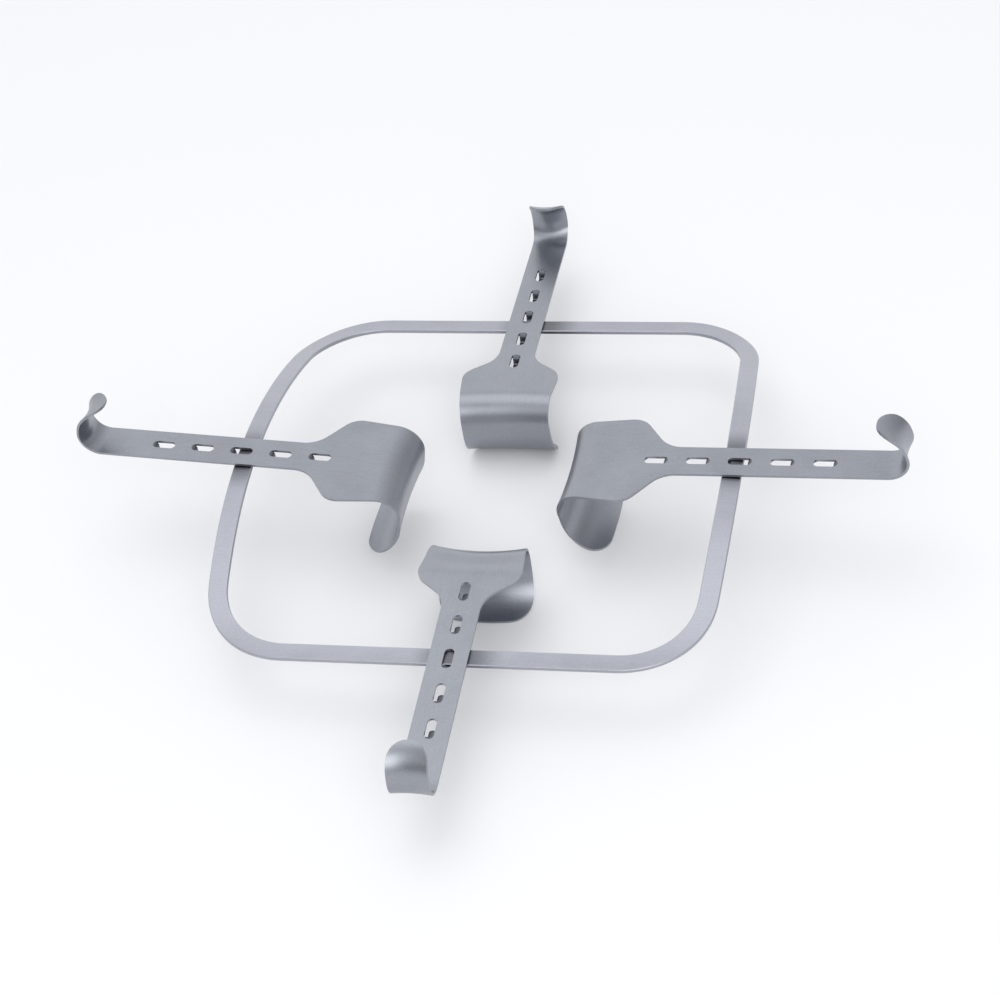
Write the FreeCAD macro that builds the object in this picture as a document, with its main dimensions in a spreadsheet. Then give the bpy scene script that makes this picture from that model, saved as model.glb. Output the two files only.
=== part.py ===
import FreeCAD, Part
import math
import os
import re
import Sketcher

# Self retaining retractor: an arched flat ring and four saddle blades that clip over its bars.
# Frame: X runs to the right, Y away from the near bar, Z up; the origin is the middle of the ring
# window, at mid thickness of the side rails' highest points. Sizes are in millimetres and degrees.

V = FreeCAD.Vector
# how a sketch numbers the points of an edge, and its own axes
POINTS = ("edge", "start", "end", "centre")
START, END, CENTRE = (POINTS.index(name) for name in POINTS[1:])
X_AXIS, Y_AXIS = -1, -2
ORIGIN = X_AXIS

SIZES = {
    # ring
    "windowWidth": 250.0,
    "windowDepth": 250.0,
    "windowCorner": 37.0,
    "railBow": 3.5,
    "barWidth": 10.0,
    "barThickness": 2.2,
    "archRadius": 304.0,
    "archTurn": 36.4,
    "endRadius": 143.0,
    "endSlope": 0.6,
    "ringTrim": 5.0,
    # sheet that all four blades are made of
    "sheetThickness": 1.4,
    # stem with its row of slots; distances along a blade run from the middle slot
    "stemWidth": 20.0,
    "slotCount": 5,
    "slotPitch": 21.8,
    "slotLength": 12.4,
    "slotWidth": 5.0,
    # lugs pressed down out of the slots
    "lugWidth": 3.8,
    "lugInset": 1.0,
    "lugPlay": 1.2,
    "lugFoot": 8.0,
    # shoulders
    "shoulderAngle": 53.0,
    "shoulderHollow": 15.0,
    "shoulderRound": 11.0,
    "stemLap": 3.0,
    # saddle profile
    "bendRadius": 11.9,
    "bendTurn": 98.0,
    "wallRun": 6.6,
    "curlRadius": 22.8,
    "curlTurn": 51.0,
    "lipRadius": 21.0,
    "lipTurn": 26.0,
    "planRadius": 250.0,
    "lipCorner": 12.0,
    "lipEase": 0.06,
    # finger hook
    "hookReach": 75.8,
    "hookRadius": 10.4,
    "hookTurn": 101.7,
    "hookNeck": 1.7,
    "lobeRadius": 15.1,
    "lobeTurn": 69.0,
    "lobeRound": 9.0,
    # how the blades sit on the bars
    "seatGap": 0.3,
    # how near an edge has to be to the place where it is looked for
    "nearBy": 0.2,
}

# The side blades have wider saddles than the end blades
SADDLES = {
    "side": {"neckReach": 39.0, "plateReach": 78.0, "bendWidth": 54.0},
    "end": {"neckReach": 42.0, "plateReach": 71.0, "bendWidth": 48.5},
}
current = {"saddle": "side"}

# Each blade: the side of the ring that it clips to, how far its middle slot sits from the window's
# middle, where it stands along the bar, its swing about the vertical and its tip about the bar
BLADES = {
    "right_blade": {"side": 0.0, "reach": 133.4, "along": -8.8, "swing": -2.6, "tip": -2.4},
    "far_blade": {"side": 90.0, "reach": 136.4, "along": 5.1, "swing": 0.8, "tip": 0.6},
    "left_blade": {"side": 180.0, "reach": 132.8, "along": 7.5, "swing": -2.4, "tip": -2.4},
    "near_blade": {"side": 270.0, "reach": 132.6, "along": 2.0, "swing": -0.6, "tip": 0.6},
}


def alias(name):
    """Name of a size in the sheet: what the two kinds of saddle don't share has a row for each."""
    kind = current["saddle"]
    return kind + name[0].upper() + name[1:] if name in SADDLES[kind] else name


def size(name):
    return SADDLES[current["saddle"]].get(name) or SIZES[name]


def spell(words):
    """Expression with each size under its name in the sheet."""
    return re.sub("(?<=dims[.])[A-Za-z]+", lambda found: alias(found.group()), words)


def cell(name):
    """A size with the expression that reads it from the sheet."""
    return size(name), "dims." + name


def angleCell(name):
    return math.radians(size(name)), "dims." + name + " * 1 deg"


def polar(centre, radius, angle):
    return V(centre.x + radius * math.cos(angle), centre.y + radius * math.sin(angle), 0)


def makeSheet(doc):
    sheet = doc.addObject("Spreadsheet::Sheet", "dims")
    rows = dict(SIZES)
    for current["saddle"], own in SADDLES.items():
        rows.update((alias(name), value) for name, value in own.items())
    for row, (name, value) in enumerate(rows.items(), start=1):
        sheet.set("A" + str(row), name)
        sheet.set("B" + str(row), str(value))
        sheet.setAlias("B" + str(row), name)
    doc.recompute()
    return sheet


def originPlane(body, role):
    for feature in body.Origin.OriginFeatures:
        if feature.Role == role:
            return feature
    raise ValueError("no plane " + role)


def newSketch(body, name, role, height=None):
    sketch = body.newObject("Sketcher::SketchObject", name)
    sketch.AttachmentSupport = (originPlane(body, role), [""])
    sketch.MapMode = "FlatFace"
    if height:
        sketch.setExpression("AttachmentOffset.Base.z", spell(height))
    return sketch


def relate(sketch, *parts):
    return sketch.addConstraint(Sketcher.Constraint(*parts))


def bind(sketch, name, value, *parts):
    """A dimension of a sketch: its value and expression come as a pair from the sheet."""
    number, expression = value
    index = sketch.addConstraint(Sketcher.Constraint(*parts, number))
    sketch.renameConstraint(index, name)
    sketch.setExpression("Constraints." + name, spell(expression))


def stripSide(sketch, start, heading, steps, offset):
    """One side of a bent strip, as (geometry, first point, last point) for each run or bend."""
    edges = []
    at = start
    for step in steps:
        if step["kind"] == "run":
            aside = polar(V(), offset, heading + math.pi / 2)
            after = polar(at, step["length"][0], heading)
            line = sketch.addGeometry(Part.LineSegment(at + aside, after + aside), False)
            edges.append((line, START, END))
            at = after
        else:
            way = step["way"]
            turn = way * step["turn"][0]
            radius = step["radius"][0]
            centre = polar(at, radius, heading + way * math.pi / 2)
            first = heading - way * math.pi / 2
            circle = Part.Circle(centre, V(0, 0, 1), radius - way * offset)
            low, high = sorted((first, first + turn))
            arc = sketch.addGeometry(Part.ArcOfCircle(circle, low, high), False)
            edges.append((arc, START, END) if way > 0 else (arc, END, START))
            heading += turn
            at = polar(centre, radius, heading - way * math.pi / 2)
    return edges


def bentStrip(sketch, start, heading, steps, thickness, side):
    """Closed outline of a bent strip. The steps are measured along its first side."""
    first = stripSide(sketch, start, heading, steps, 0.0)
    second = stripSide(sketch, start, heading, steps, side * thickness[0])
    ends = []
    starts = first[0][:-1], second[0][:-1]
    stops = (first[-1][0], first[-1][-1]), (second[-1][0], second[-1][-1])
    for mine, other in (starts, stops):
        end = sketch.addGeometry(Part.LineSegment(sketch.getPoint(*mine), sketch.getPoint(*other)), False)
        relate(sketch, "Coincident", end, START, *mine)
        relate(sketch, "Coincident", end, END, *other)
        ends.append(end)
    for edges in (first, second):
        for before, after in zip(edges, edges[1:]):
            relate(sketch, "Tangent", before[0], before[2], after[0], after[1])
    for number, step in enumerate(steps):
        edge = first[number][0]
        if step["kind"] == "run":
            bind(sketch, "run" + str(number), step["length"], "Distance", edge)
            relate(sketch, "Parallel", edge, second[number][0])
        else:
            bind(sketch, "radius" + str(number), step["radius"], "Radius", edge)
            bind(sketch, "turn" + str(number), step["turn"], "Angle", edge)
            relate(sketch, "Coincident", edge, CENTRE, second[number][0], CENTRE)
    bind(sketch, "thickness", thickness, "Distance", ends[0])
    for at in (0, -1):
        if steps[at]["kind"] == "bend":
            relate(sketch, "PointOnObject", first[at][0], CENTRE, ends[at])
        else:
            relate(sketch, "Perpendicular", ends[at], first[at][0])
    return first, second, ends


def run(length):
    return {"kind": "run", "length": length}


def bend(radius, turn, way):
    return {"kind": "bend", "radius": radius, "turn": turn, "way": way}


def ringOutline(sketch, grow):
    """Window outline, or the outline outside it by the bar's width: straight bars, bowed rails, round corners."""
    extra = size(grow) if grow else 0.0
    more = " + dims." + grow if grow else ""
    straight = size("windowDepth") / 2 - size("windowCorner")
    bow = size("railBow")
    railRadius = (straight ** 2 + bow ** 2) / (2 * bow)
    railCentre = size("windowWidth") / 2 - railRadius
    railWords = "((dims.windowDepth / 2 - dims.windowCorner)^2 + dims.railBow^2) / (2 * dims.railBow)"
    corner = size("windowCorner") + extra
    top = size("windowDepth") / 2 + extra
    cornerUp = top - corner
    cornerOut = railCentre + math.sqrt((railRadius + extra - corner) ** 2 - cornerUp ** 2)
    lean = math.atan2(cornerUp, cornerOut - railCentre)
    quarter = math.pi / 2

    def arc(x, y, radius, low, high):
        return sketch.addGeometry(Part.ArcOfCircle(Part.Circle(V(x, y, 0), V(0, 0, 1), radius), low, high), False)

    def bar(x, y, nextX):
        return sketch.addGeometry(Part.LineSegment(V(x, y, 0), V(nextX, y, 0)), False)

    edges = [
        arc(railCentre, 0, railRadius + extra, -lean, lean),
        arc(cornerOut, cornerUp, corner, lean, quarter),
        bar(cornerOut, top, -cornerOut),
        arc(-cornerOut, cornerUp, corner, quarter, math.pi - lean),
        arc(-railCentre, 0, railRadius + extra, math.pi - lean, math.pi + lean),
        arc(-cornerOut, -cornerUp, corner, math.pi + lean, 3 * quarter),
        bar(-cornerOut, -top, cornerOut),
        arc(cornerOut, -cornerUp, corner, 3 * quarter, 4 * quarter - lean),
    ]
    for edge, after in zip(edges, edges[1:] + edges[:1]):
        relate(sketch, "Tangent", edge, END, after, START)
    for rail, sign in ((edges[0], 1), (edges[4], -1)):
        relate(sketch, "PointOnObject", rail, CENTRE, X_AXIS)
        name = "rightRail" if sign > 0 else "leftRail"
        bind(sketch, name, (railRadius + extra, railWords + more), "Radius", rail)
        place = sign * railCentre
        way = "" if sign > 0 else "-"
        words = way + "(dims.windowWidth / 2 - (" + railWords + "))"
        bind(sketch, name + "Centre", (place, words), "DistanceX", ORIGIN, START, rail, CENTRE)
    for line, sign in ((edges[2], 1), (edges[6], -1)):
        name = "farBar" if sign > 0 else "nearBar"
        words = ("" if sign > 0 else "-") + "(dims.windowDepth / 2" + more + ")"
        bind(sketch, name, (sign * top, words), "DistanceY", ORIGIN, START, line, START)
    for line in (edges[2], edges[6]):
        relate(sketch, "Horizontal", line)
    for number in (1, 3, 5, 7):
        words = "dims.windowCorner" + more
        bind(sketch, "corner" + str(number), (corner, words), "Radius", edges[number])
    return edges


def boxOutline(sketch, reachX, reachY):
    """Rectangle about the origin."""
    x, y = reachX[0], reachY[0]
    corners = [V(x, y, 0), V(-x, y, 0), V(-x, -y, 0), V(x, -y, 0)]
    sides = []
    for corner, after in zip(corners, corners[1:] + corners[:1]):
        sides.append(sketch.addGeometry(Part.LineSegment(corner, after), False))
    for side, after in zip(sides, sides[1:] + sides[:1]):
        relate(sketch, "Coincident", side, END, after, START)
    relate(sketch, "Horizontal", sides[0])
    relate(sketch, "Horizontal", sides[2])
    relate(sketch, "Vertical", sides[1])
    relate(sketch, "Vertical", sides[3])
    relate(sketch, "Symmetric", sides[0], START, sides[2], START, ORIGIN, START)
    bind(sketch, "boxX", reachX, "DistanceX", ORIGIN, START, sides[0], START)
    bind(sketch, "boxY", reachY, "DistanceY", ORIGIN, START, sides[0], START)


def ringReach(axis, spare):
    number = size(axis) / 2 + size("barWidth") + size(spare)
    return number, "dims." + axis + " / 2 + dims.barWidth + dims." + spare


def cutAway(body, name, sketch, sides="Symmetric", upward=False):
    """Pocket right through, which has to take material off."""
    before = body.Tip.Shape.Volume
    pocket = body.newObject("PartDesign::Pocket", name)
    pocket.Profile = sketch
    pocket.SideType = sides
    pocket.Reversed = upward
    pocket.Type = "ThroughAll"
    body.Document.recompute()
    if not pocket.Shape.Volume < before - 1.0:
        raise ValueError(name + " cuts nothing")
    return pocket


def makeRing(doc):
    """Flat bar bent into an arch over the wound, cut out as a ring with bowed rails."""
    body = doc.addObject("PartDesign::Body", "ring")
    body.Label = "ring"
    half = size("barThickness") / 2
    top = size("archRadius") + half
    archWords = "dims.archRadius + dims.barThickness / 2"
    endTop = size("endRadius") - half
    endWords = "dims.endRadius - dims.barThickness / 2"
    slope = size("archTurn") / 2
    endTurn = slope - size("endSlope")
    turns = math.radians(endTurn), "(dims.archTurn / 2 - dims.endSlope) * 1 deg"
    steps = [
        bend((endTop, endWords), turns, 1),
        bend((top, archWords), angleCell("archTurn"), -1),
        bend((endTop, endWords), turns, 1),
    ]
    hill = math.radians(slope)
    foot = math.radians(size("endSlope"))
    reach = top * math.sin(hill) + endTop * (math.sin(hill) - math.sin(foot))
    fall = top * (1 - math.cos(hill)) + endTop * (math.cos(foot) - math.cos(hill))
    profile = newSketch(body, "archProfile", "YZ_Plane")
    first, second, ends = bentStrip(profile, V(-reach, half - fall, 0), foot, steps, cell("barThickness"), -1)
    arch = first[1][0]
    relate(profile, "Symmetric", first[0][0], first[0][1], first[2][0], first[2][2], Y_AXIS)
    bind(profile, "archCentre", (-size("archRadius"), "-dims.archRadius"), "DistanceY", ORIGIN, START, arch, CENTRE)
    pad = body.newObject("PartDesign::Pad", "archStrip")
    pad.Profile = profile
    pad.SideType = "Symmetric"
    pad.setExpression("Length", "dims.windowWidth + 2 * dims.barWidth + 2 * dims.ringTrim")
    doc.recompute()
    outside = newSketch(body, "outerOutline", "XY_Plane")
    boxOutline(outside, ringReach("windowWidth", "ringTrim"), ringReach("windowDepth", "ringTrim"))
    ringOutline(outside, "barWidth")
    cutAway(body, "outerCut", outside)
    window = newSketch(body, "windowOutline", "XY_Plane")
    ringOutline(window, None)
    cutAway(body, "windowCut", window)
    return body


def revolve(body, name, sketch, angle):
    feature = body.newObject("PartDesign::Revolution", name)
    feature.Profile = sketch
    feature.ReferenceAxis = (sketch, ["Axis0"])
    feature.Midplane = True
    feature.setExpression("Angle", spell(angle))
    body.Document.recompute()
    return feature


def padAcross(body, name, sketch, width):
    feature = body.newObject("PartDesign::Pad", name)
    feature.Profile = sketch
    feature.SideType = "Symmetric"
    feature.setExpression("Length", width)
    body.Document.recompute()
    return feature


def levelStart(sketch, edges, place):
    """Lay the first run of a strip level, from a bound place along the sketch's X axis."""
    relate(sketch, "Horizontal", edges[0][0])
    bind(sketch, "startPlace", place, "DistanceX", ORIGIN, START, edges[0][0], edges[0][1])


def makeSaddle(body):
    """Plate, bend, wall and outward curl, turned about an upright axis beyond the wound's middle."""
    sketch = newSketch(body, "saddleProfile", "XZ_Plane")
    neck = size("neckReach")
    lap = size("stemLap")
    steps = [
        run((size("plateReach") - neck + lap, "dims.plateReach - dims.neckReach + dims.stemLap")),
        bend(cell("bendRadius"), angleCell("bendTurn"), 1),
        run(cell("wallRun")),
        bend(cell("curlRadius"), angleCell("curlTurn"), 1),
        bend(cell("lipRadius"), angleCell("lipTurn"), 1),
    ]
    start = V(lap - neck, 0, 0)
    edges, others, ends = bentStrip(sketch, start, math.pi, steps, cell("sheetThickness"), -1)
    levelStart(sketch, edges, (lap - neck, "dims.stemLap - dims.neckReach"))
    relate(sketch, "PointOnObject", edges[0][0], START, X_AXIS)
    place = saddleAxis()
    axis = sketch.addGeometry(Part.LineSegment(V(place[0], 0, 0), V(place[0], size("planRadius"), 0)), True)
    relate(sketch, "Vertical", axis)
    relate(sketch, "PointOnObject", axis, START, X_AXIS)
    bind(sketch, "axisPlace", place, "DistanceX", ORIGIN, START, axis, START)
    bind(sketch, "axisLength", cell("planRadius"), "DistanceY", axis, START, axis, END)
    return revolve(body, "saddle", sketch, "2 * asin(dims.bendWidth / 2 / dims.planRadius)")


def makeStem(body):
    """Flat stem that ends in a finger hook: up, over and back towards the ring."""
    sketch = newSketch(body, "stemProfile", "XZ_Plane")
    thickness = size("sheetThickness")
    straight = size("hookReach") + size("neckReach")
    steps = [
        run((straight, "dims.hookReach + dims.neckReach")),
        bend(cell("hookRadius"), angleCell("hookTurn"), 1),
        run(cell("hookNeck")),
        bend(cell("lobeRadius"), angleCell("lobeTurn"), 1),
    ]
    start = V(-size("neckReach"), thickness, 0)
    edges, others, ends = bentStrip(sketch, start, 0.0, steps, cell("sheetThickness"), -1)
    levelStart(sketch, edges, (-size("neckReach"), "-dims.neckReach"))
    relate(sketch, "PointOnObject", others[0][0], others[0][1], X_AXIS)
    return padAcross(body, "stem", sketch, "dims.stemWidth")


def sideOutline(sketch, side, steps, rounding=None):
    """Closed outline on one side of a blade. Each step is (name, place along, place across) as sheet pairs.
    The rounding, a radius and the place of its middle, turns the last edge into an arc."""
    tag = "Left" if side > 0 else "Right"
    way = "" if side > 0 else "-"
    points = [V(along[0], side * across[0], 0) for name, along, across in steps]
    edges = []
    for point, after in zip(points, points[1:] + points[:1]):
        edges.append(sketch.addGeometry(Part.LineSegment(point, after), False))
    ends = [(edge, START, END) for edge in edges]
    if rounding:
        sketch.delGeometry(edges[-1])
        radius, middle = rounding
        centre = V(middle[0], side * middle[1], 0)
        begin, stop = points[0] - centre, points[-1] - centre
        turned = math.atan2(begin.y, begin.x)
        sweep = math.remainder(math.atan2(stop.y, stop.x) - turned, math.tau)
        low, high = sorted((turned, turned + sweep))
        arc = sketch.addGeometry(Part.ArcOfCircle(Part.Circle(centre, V(0, 0, 1), radius[0]), low, high), False)
        ends[-1] = (arc, START, END) if sweep < 0 else (arc, END, START)
        bind(sketch, "rounding" + tag, radius, "Radius", arc)
    for edge, after in zip(ends, ends[1:] + ends[:1]):
        relate(sketch, "Coincident", edge[0], edge[-1], after[0], after[1])
    for edge, (name, along, across) in zip(ends, steps):
        bind(sketch, name + "Along" + tag, along, "DistanceX", ORIGIN, START, edge[0], edge[1])
        if across[0]:
            far = side * across[0], way + "(" + across[1] + ")"
            bind(sketch, name + "Across" + tag, far, "DistanceY", ORIGIN, START, edge[0], edge[1])
        else:
            relate(sketch, "PointOnObject", edge[0], edge[1], X_AXIS)


def saddleAxis():
    """Place along a blade of the upright axis that its saddle is turned about."""
    number = -(size("plateReach") + size("bendRadius") + size("sheetThickness") + size("planRadius"))
    return number, "-(dims.plateReach + dims.bendRadius + dims.sheetThickness + dims.planRadius)"


def shoulderCorner():
    """Where a shoulder meets the saddle's side, which points at the saddle's axis."""
    half = size("stemWidth") / 2
    slope = math.tan(math.radians(size("shoulderAngle")))
    spread = math.tan(math.asin(size("bendWidth") / 2 / size("planRadius")))
    axis = saddleAxis()[0]
    along = (half - slope * size("neckReach") + spread * axis) / (spread + slope)
    return along, spread * (along - axis)


def makeShoulderCut(body):
    """Cut the plate to a stem-wide neck and two sloping shoulders."""
    sketch = newSketch(body, "shoulderOutline", "XY_Plane")
    half = size("stemWidth") / 2, "dims.stemWidth / 2"
    outside = cell("bendWidth")
    clear = cell("stemLap")
    neck = -size("neckReach"), "-dims.neckReach"
    fall = (outside[0] - half[0]) / math.tan(math.radians(size("shoulderAngle")))
    fallWords = "(dims.bendWidth - dims.stemWidth / 2) / tan(dims.shoulderAngle * 1 deg)"
    for side in (1, -1):
        sideOutline(sketch, side, [
            ("start", clear, half),
            ("neck", neck, half),
            ("shoulder", (neck[0] - fall, "-dims.neckReach - " + fallWords), outside),
            ("back", clear, outside),
        ])
    return cutAway(body, "shoulderCut", sketch)


def makeLipCut(body):
    """Round the lip's corners in plan, from below the bend down."""
    sketch = newSketch(body, "lipOutline", "XY_Plane", "-dims.bendRadius")
    corner = cell("lipCorner")
    outside = cell("bendWidth")
    clear = cell("stemLap")
    axis, axisWords = saddleAxis()
    lean = math.radians(size("bendTurn"))
    turned = lean + math.radians(size("curlTurn"))
    whole = turned + math.radians(size("lipTurn"))
    lip = size("lipEase") + size("sheetThickness") + size("planRadius") + size("bendRadius") * (1 - math.sin(lean)) \
        - size("wallRun") * math.cos(lean) + size("curlRadius") * (math.sin(lean) - math.sin(turned)) \
        + size("lipRadius") * (math.sin(turned) - math.sin(whole))
    lipWords = "(dims.lipEase + dims.sheetThickness + dims.planRadius" \
        " + dims.bendRadius * (1 - sin(dims.bendTurn * 1 deg))" \
        " - dims.wallRun * cos(dims.bendTurn * 1 deg) + dims.curlRadius * (sin(dims.bendTurn * 1 deg)" \
        " - sin((dims.bendTurn + dims.curlTurn) * 1 deg)) + dims.lipRadius" \
        " * (sin((dims.bendTurn + dims.curlTurn) * 1 deg)" \
        " - sin((dims.bendTurn + dims.curlTurn + dims.lipTurn) * 1 deg)))"
    inner = lip - corner[0]
    innerWords = "(" + lipWords + " - dims.lipCorner)"
    slant = math.asin((size("bendWidth") / 2 + size("lipEase")) / size("planRadius"))
    slantWords = "asin((dims.bendWidth / 2 + dims.lipEase) / dims.planRadius)"
    narrow = slant - math.asin(corner[0] / inner)
    narrowWords = "(" + slantWords + " - asin(dims.lipCorner / " + innerWords + "))"
    reach = math.sqrt(inner ** 2 - corner[0] ** 2)
    reachWords = "sqrt(" + innerWords + "^2 - dims.lipCorner^2)"

    def spot(far, farWords, angle, angleWords):
        along = axis + far * math.cos(angle), axisWords + " + " + farWords + " * cos(" + angleWords + ")"
        return along, (far * math.sin(angle), farWords + " * sin(" + angleWords + ")")

    sideAlong, sideAcross = spot(reach, reachWords, slant, slantWords)
    lipAlong, lipAcross = spot(lip, lipWords, narrow, narrowWords)
    middle = axis + inner * math.cos(narrow), inner * math.sin(narrow)
    for side in (1, -1):
        sideOutline(sketch, side, [
            ("side", sideAlong, sideAcross),
            ("outer", sideAlong, outside),
            ("back", clear, outside),
            ("front", clear, lipAcross),
            ("lip", lipAlong, lipAcross),
        ], (corner, middle))
    return cutAway(body, "lipCut", sketch, "One side")


def makeLobeCut(body):
    """Round the free end of the finger hook."""
    sketch = newSketch(body, "lobeOutline", "XY_Plane", "dims.hookRadius")
    lean = math.radians(size("hookTurn"))
    whole = lean + math.radians(size("lobeTurn"))
    end = size("hookReach") + size("hookRadius") * math.sin(lean) + size("hookNeck") * math.cos(lean) \
        + size("lobeRadius") * (math.sin(whole) - math.sin(lean))
    endWords = "dims.hookReach + dims.hookRadius * sin(dims.hookTurn * 1 deg)" \
        " + dims.hookNeck * cos(dims.hookTurn * 1 deg) + dims.lobeRadius" \
        " * (sin((dims.hookTurn + dims.lobeTurn) * 1 deg) - sin(dims.hookTurn * 1 deg))"
    side = end + size("lobeRound"), endWords + " + dims.lobeRound"
    before = end - size("stemLap"), endWords + " - dims.stemLap"
    half = size("stemWidth") / 2, "dims.stemWidth / 2"
    outside = half[0] + size("stemLap"), "dims.stemWidth / 2 + dims.stemLap"
    touch = half[0] - size("lobeRound"), "dims.stemWidth / 2 - dims.lobeRound"
    middle = side[0], touch[0]
    for way in (1, -1):
        sideOutline(sketch, way, [
            ("side", side, half),
            ("outer", side, outside),
            ("back", before, outside),
            ("front", before, touch),
            ("tip", (end, endWords), touch),
        ], (cell("lobeRound"), middle))
    return cutAway(body, "lobeCut", sketch, "One side", True)


def roundEdges(body, name, edges, radius):
    """Fillet the edges of the body so far that the test picks out."""
    base = body.Tip
    names = ["Edge" + str(at) for at, edge in enumerate(base.Shape.Edges, start=1) if edges(edge)]
    if len(names) != 2:
        raise ValueError(name + " finds " + str(len(names)) + " edges")
    fillet = body.newObject("PartDesign::Fillet", name)
    fillet.Base = (base, names)
    fillet.setExpression("Radius", radius)
    body.Document.recompute()
    return fillet


def uprightAt(along, across):
    """Test for an edge through the sheet that stands at one place in plan, on either side."""
    limit = size("nearBy")

    def test(edge):
        box = edge.BoundBox
        away = math.hypot(box.Center.x - along, abs(box.Center.y) - across)
        return max(away, box.XLength, box.YLength) < limit
    return test


def makeSlots(body):
    """Row of round-ended slots, each with the lug that is pressed down out of it."""
    first = -2 * size("slotPitch"), "-2 * dims.slotPitch"
    radius = size("slotWidth") / 2, "dims.slotWidth / 2"
    spread = size("slotLength") - size("slotWidth")
    sketch = newSketch(body, "slotOutline", "XY_Plane")
    quarter = math.pi / 2
    ends = []
    for way in (1, -1):
        circle = Part.Circle(V(first[0] + way * spread / 2, 0, 0), V(0, 0, 1), radius[0])
        low = -way * quarter
        ends.append(sketch.addGeometry(Part.ArcOfCircle(circle, low, low + math.pi), False))
    for before, after, way in ((0, 1, 1), (1, 0, -1)):
        begin = V(first[0] + way * spread / 2, way * radius[0], 0)
        line = sketch.addGeometry(Part.LineSegment(begin, V(begin.x - way * spread, begin.y, 0)), False)
        relate(sketch, "Tangent", ends[before], END, line, START)
        relate(sketch, "Tangent", line, END, ends[after], START)
    relate(sketch, "Equal", ends[0], ends[1])
    relate(sketch, "PointOnObject", ends[0], CENTRE, X_AXIS)
    relate(sketch, "PointOnObject", ends[1], CENTRE, X_AXIS)
    bind(sketch, "slotRound", radius, "Radius", ends[0])
    for name, number, way in (("outerEnd", 0, 1), ("innerEnd", 1, -1)):
        place = first[0] + way * spread / 2
        words = first[1] + (" + " if way > 0 else " - ") + "(dims.slotLength - dims.slotWidth) / 2"
        bind(sketch, name, (place, words), "DistanceX", ORIGIN, START, ends[number], CENTRE)
    slot = cutAway(body, "slot", sketch)

    profile = newSketch(body, "lugProfile", "XZ_Plane")
    outer = first[0] + size("slotLength") / 2 - size("lugInset")
    outerWords = first[1] + " + dims.slotLength / 2 - dims.lugInset"
    inside = outer + size("lugInset") + size("stemLap"), outerWords + " + dims.lugInset + dims.stemLap"
    leg = outer - size("sheetThickness"), outerWords + " - dims.sheetThickness"
    tip = outer - size("lugFoot"), outerWords + " - dims.lugFoot"
    top = cell("sheetThickness")
    level = 0.0, ""
    under = -(size("barThickness") + size("lugPlay")), "-(dims.barThickness + dims.lugPlay)"
    low = under[0] - size("sheetThickness"), under[1] + " - dims.sheetThickness"
    sideOutline(profile, 1, [
        ("inside", inside, level),
        ("insideTop", inside, top),
        ("legTop", leg, top),
        ("foot", leg, under),
        ("tipTop", tip, under),
        ("tip", tip, low),
        ("heel", (outer, outerWords), low),
        ("leg", (outer, outerWords), level),
    ])
    lug = padAcross(body, "lug", profile, "dims.lugWidth")

    row = body.newObject("PartDesign::LinearPattern", "slotRow")
    row.Originals = [slot, lug]
    row.Direction = (sketch, ["H_Axis"])
    row.setExpression("Length", "dims.slotPitch * (dims.slotCount - 1)")
    row.setExpression("Occurrences", "dims.slotCount")
    body.Tip = row
    body.Document.recompute()
    return row


def makeBlade(doc, name, saddle):
    """Blade with its plate level; its own origin is the middle slot's centre, on the underside."""
    current["saddle"] = saddle
    body = doc.addObject("PartDesign::Body", name)
    body.Label = name
    makeSaddle(body)
    makeStem(body)
    makeShoulderCut(body)
    makeLipCut(body)
    makeLobeCut(body)
    half = size("stemWidth") / 2
    roundEdges(body, "neckHollows", uprightAt(-size("neckReach"), half), "dims.shoulderHollow")
    roundEdges(body, "shoulderRounds", uprightAt(*shoulderCorner()), "dims.shoulderRound")
    makeSlots(body)
    return body


def standOnBar(blade, side, reach, along, swing, tip):
    """Place a blade on its bar: a side blade goes round the arch, an end blade lies along the slope of its bar."""
    up = V(0, 0, 1)
    innerEdge = size("windowWidth") / 2 - reach
    dips = [edge * math.sin(math.radians(tip)) for edge in (innerEdge, innerEdge + size("barWidth"))]
    rise = size("barThickness") / 2 + size("seatGap") + max(dips)
    own = FreeCAD.Rotation(up, swing).multiply(FreeCAD.Rotation(V(0, 1, 0), tip))
    if side in (0.0, 180.0):
        place = FreeCAD.Placement(V(reach, 0, rise), own)
        turned = FreeCAD.Placement(V(), FreeCAD.Rotation(up, side))
        lean = math.degrees(math.asin(along / size("archRadius"))) * (1 if side == 0.0 else -1)
        arch = FreeCAD.Placement(V(), FreeCAD.Rotation(V(1, 0, 0), -lean), V(0, 0, -size("archRadius")))
        blade.Placement = arch.multiply(turned).multiply(place)
        return
    middle = size("windowDepth") / 2 + size("barWidth") / 2
    fall, slope = barAt(middle)
    hollow = size("barWidth") ** 2 / (8 * size("endRadius"))
    place = FreeCAD.Placement(V(reach - middle, 0, rise + hollow), own)
    bar = FreeCAD.Placement(V(middle, along, fall), FreeCAD.Rotation(V(0, 1, 0), slope))
    turned = FreeCAD.Placement(V(), FreeCAD.Rotation(up, side))
    blade.Placement = turned.multiply(bar).multiply(place)


def barAt(depth):
    """Height and downward slope, in degrees, of the arch's middle surface at a distance from its middle."""
    hill = math.radians(size("archTurn") / 2)
    edge = size("archRadius") * math.sin(hill)
    centre = edge + size("endRadius") * math.sin(hill)
    fall = size("archRadius") * (math.cos(hill) - 1)
    lift = size("endRadius") * math.cos(hill)
    slope = math.asin((centre - depth) / size("endRadius"))
    return fall + lift - size("endRadius") * math.cos(slope), math.degrees(slope)


def sketchFaults(doc):
    for feature in doc.Objects:
        if feature.TypeId == "Sketcher::SketchObject" and feature.solve() != 0:
            yield feature.Name + " doesn't solve"


def stateFaults(doc):
    for feature in doc.Objects:
        for word in ("Invalid", "Error"):
            if word in feature.State:
                yield feature.Name + " is " + word


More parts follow.
